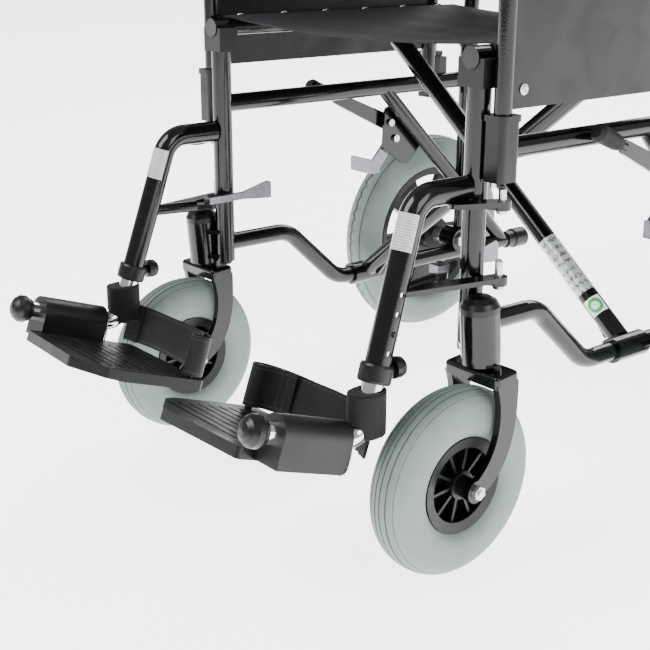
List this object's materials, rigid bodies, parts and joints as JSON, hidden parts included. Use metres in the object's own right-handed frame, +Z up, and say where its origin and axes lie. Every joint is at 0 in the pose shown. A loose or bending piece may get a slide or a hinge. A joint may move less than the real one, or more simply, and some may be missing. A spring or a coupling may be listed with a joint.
{
  "type": "manual wheelchair",
  "caption": "Folding transit wheelchair with cross braces, swivel castors, swing-away hangers, flip-up footplates, lift-out armrests and push handles.",
  "frame": {"origin": "centre of the overall box on the floor", "axes": "+Z up, the chair faces -Y, +X is the sitter's left-hand side"},
  "size_m": [0.654, 0.9816, 0.9337],
  "materials": {
    "black_frame": "gloss black powder coat",
    "black_plastic": "satin moulded polypropylene",
    "wheel_plastic": "satin moulded nylon",
    "grey_tyre": "grey-green solid rubber, matte",
    "zinc_steel": "bright zinc plate",
    "chrome_tube": "polished chrome plate",
    "grip_rubber": "matte moulded rubber",
    "nylon_fabric": "woven nylon",
    "black_webbing": "woven webbing",
    "pad_vinyl": "grained polyurethane skin"
  },
  "bodies": {
    "left_frame": {"left_side_frame": "black_frame", "left_frame_caps": "black_plastic", "left_back_cane": "black_frame", "left_push_grip": "grip_rubber", "left_seat_saddles": "black_plastic", "left_armrest_sockets": "black_frame", "left_brake_plate": "black_frame", "left_frame_bolts": "zinc_steel", "back_sling": "nylon_fabric"},
    "brace_a": {"brace_a": "black_frame", "brace_bolt": "zinc_steel", "seat_sling": "nylon_fabric"},
    "brace_b": {"brace_b": "black_frame"},
    "right_frame": {"right_side_frame": "black_frame", "right_frame_caps": "black_plastic", "right_back_cane": "black_frame", "right_push_grip": "grip_rubber", "right_seat_saddles": "black_plastic", "right_armrest_sockets": "black_frame", "right_brake_plate": "black_frame", "right_frame_bolts": "zinc_steel"},
    "left_castor_fork": {"left_castor_fork": "black_frame", "left_castor_axle": "zinc_steel"},
    "left_castor_wheel": {"left_castor_wheel": "wheel_plastic", "left_castor_tyre": "grey_tyre"},
    "left_rear_wheel": {"left_rear_wheel": "wheel_plastic", "left_rear_tyre": "grey_tyre"},
    "left_hanger": {"left_hanger": "black_frame", "left_hanger_fittings": "black_plastic"},
    "left_hanger_latch": {"left_hanger_latch": "zinc_steel"},
    "left_footrest": {"left_footrest_tube": "chrome_tube", "left_footrest_cap": "black_plastic", "left_heel_loop": "black_webbing"},
    "left_footplate": {"left_footplate": "black_plastic"},
    "left_armrest": {"left_armrest_frame": "black_frame", "left_armrest_pad": "pad_vinyl", "left_side_panel": "black_plastic"},
    "left_brake_lever": {"left_brake_lever": "black_frame", "left_brake_grip": "grip_rubber"},
    "left_brake_shoe": {"left_brake_shoe": "zinc_steel"},
    "right_castor_fork": {"right_castor_fork": "black_frame", "right_castor_axle": "zinc_steel"},
    "right_castor_wheel": {"right_castor_wheel": "wheel_plastic", "right_castor_tyre": "grey_tyre"},
    "right_rear_wheel": {"right_rear_wheel": "wheel_plastic", "right_rear_tyre": "grey_tyre"},
    "right_hanger": {"right_hanger": "black_frame", "right_hanger_fittings": "black_plastic"},
    "right_hanger_latch": {"right_hanger_latch": "zinc_steel"},
    "right_footrest": {"right_footrest_tube": "chrome_tube", "right_footrest_cap": "black_plastic", "right_heel_loop": "black_webbing"},
    "right_footplate": {"right_footplate": "black_plastic"},
    "right_armrest": {"right_armrest_frame": "black_frame", "right_armrest_pad": "pad_vinyl", "right_side_panel": "black_plastic"},
    "right_brake_lever": {"right_brake_lever": "black_frame", "right_brake_grip": "grip_rubber"},
    "right_brake_shoe": {"right_brake_shoe": "zinc_steel"}
  },
  "joints": [
    {"name": "cross_fold", "type": "hinge", "parent": "left_frame", "child": "brace_a", "pos_m": [0.218, 0.06374, 0.14055], "axis": [0, 0.9962, -0.0872], "range_deg": [0, 32], "deforming": ["seat_sling", "back_sling"]},
    {"name": "brace_scissor", "type": "hinge", "parent": "brace_a", "child": "brace_b", "pos_m": [0, 0.06595, 0.31502], "axis": [0, 0.9962, -0.0872], "range_deg": [-64, 0]},
    {"name": "right_frame_fold", "type": "hinge", "parent": "brace_b", "child": "right_frame", "pos_m": [-0.218, 0.03784, 0.14281], "axis": [0, 0.9962, -0.0872], "range_deg": [0, 32]},
    {"name": "left_castor_swivel", "type": "hinge", "parent": "left_frame", "child": "left_castor_fork", "pos_m": [0.247, -0.206, 0.216], "axis": [0, 0, 1], "continuous": true},
    {"name": "left_castor_roll", "type": "hinge", "parent": "left_castor_fork", "child": "left_castor_wheel", "pos_m": [0.247, -0.253, 0.1], "axis": [1, 0, 0], "continuous": true},
    {"name": "left_wheel_roll", "type": "hinge", "parent": "left_frame", "child": "left_rear_wheel", "pos_m": [0.285, 0.21588, 0.147], "axis": [1, 0, 0], "continuous": true},
    {"name": "left_hanger_swing", "type": "hinge", "parent": "left_frame", "child": "left_hanger", "pos_m": [0.247, -0.18013, 0.29037], "axis": [0, 0.0872, 0.9962], "range_deg": [0, 90]},
    {"name": "left_latch_press", "type": "hinge", "parent": "left_hanger", "child": "left_hanger_latch", "pos_m": [0.203, -0.21718, 0.3029], "axis": [0, 0.0872, 0.9962], "range_deg": [0, 18], "stiffness_Nm_per_rad": 0.3, "springref_deg": -11.46},
    {"name": "left_footrest_length", "type": "slide", "parent": "left_hanger", "child": "left_footrest", "axis": [0.0484, -0.3972, -0.9164], "range_m": [0, 0.06]},
    {"name": "left_footplate_flip", "type": "hinge", "parent": "left_footrest", "child": "left_footplate", "pos_m": [0.2295, -0.47406, 0.22946], "axis": [0, 0.9111, -0.4122], "range_deg": [0, 70], "deforming": ["left_heel_loop"]},
    {"name": "left_armrest_lift", "type": "slide", "parent": "left_frame", "child": "left_armrest", "axis": [0, 0.0872, 0.9962], "range_m": [0, 0.12]},
    {"name": "left_brake_set", "type": "hinge", "parent": "left_frame", "child": "left_brake_lever", "pos_m": [0.237, 0.10742, 0.34151], "axis": [1, 0, 0], "range_deg": [0, 42]},
    {"name": "left_brake_shoe_turn", "type": "hinge", "parent": "left_frame", "child": "left_brake_shoe", "pos_m": [0.2325, 0.11538, 0.31772], "axis": [1, 0, 0], "range_deg": [0, 44.1]},
    {"name": "right_castor_swivel", "type": "hinge", "parent": "right_frame", "child": "right_castor_fork", "pos_m": [-0.247, -0.206, 0.216], "axis": [0, 0, 1], "continuous": true},
    {"name": "right_castor_roll", "type": "hinge", "parent": "right_castor_fork", "child": "right_castor_wheel", "pos_m": [-0.247, -0.253, 0.1], "axis": [1, 0, 0], "continuous": true},
    {"name": "right_wheel_roll", "type": "hinge", "parent": "right_frame", "child": "right_rear_wheel", "pos_m": [-0.285, 0.21588, 0.147], "axis": [1, 0, 0], "continuous": true},
    {"name": "right_hanger_swing", "type": "hinge", "parent": "right_frame", "child": "right_hanger", "pos_m": [-0.247, -0.18013, 0.29037], "axis": [0, -0.0872, -0.9962], "range_deg": [0, 90]},
    {"name": "right_latch_press", "type": "hinge", "parent": "right_hanger", "child": "right_hanger_latch", "pos_m": [-0.203, -0.21718, 0.3029], "axis": [0, -0.0872, -0.9962], "range_deg": [0, 18], "stiffness_Nm_per_rad": 0.3, "springref_deg": -11.46},
    {"name": "right_footrest_length", "type": "slide", "parent": "right_hanger", "child": "right_footrest", "axis": [-0.0484, -0.3972, -0.9164], "range_m": [0, 0.06]},
    {"name": "right_footplate_flip", "type": "hinge", "parent": "right_footrest", "child": "right_footplate", "pos_m": [-0.2295, -0.47406, 0.22946], "axis": [0, -0.9111, 0.4122], "range_deg": [0, 70], "deforming": ["right_heel_loop"]},
    {"name": "right_armrest_lift", "type": "slide", "parent": "right_frame", "child": "right_armrest", "axis": [0, 0.0872, 0.9962], "range_m": [0, 0.12]},
    {"name": "right_brake_set", "type": "hinge", "parent": "right_frame", "child": "right_brake_lever", "pos_m": [-0.237, 0.10742, 0.34151], "axis": [1, 0, 0], "range_deg": [0, 42]},
    {"name": "right_brake_shoe_turn", "type": "hinge", "parent": "right_frame", "child": "right_brake_shoe", "pos_m": [-0.2325, 0.11538, 0.31772], "axis": [1, 0, 0], "range_deg": [0, 44.1]}
  ],
  "couplings": [
    {"joint": "brace_scissor", "follows": "cross_fold", "ratio": -2},
    {"joint": "right_frame_fold", "follows": "cross_fold", "ratio": 1},
    {"joint": "left_footplate_flip", "follows": "cross_fold", "ratio": 2.1875},
    {"joint": "left_brake_shoe_turn", "follows": "left_brake_set", "ratio": 1.05},
    {"joint": "right_footplate_flip", "follows": "cross_fold", "ratio": 2.1875},
    {"joint": "right_brake_shoe_turn", "follows": "right_brake_set", "ratio": 1.05}
  ]
}
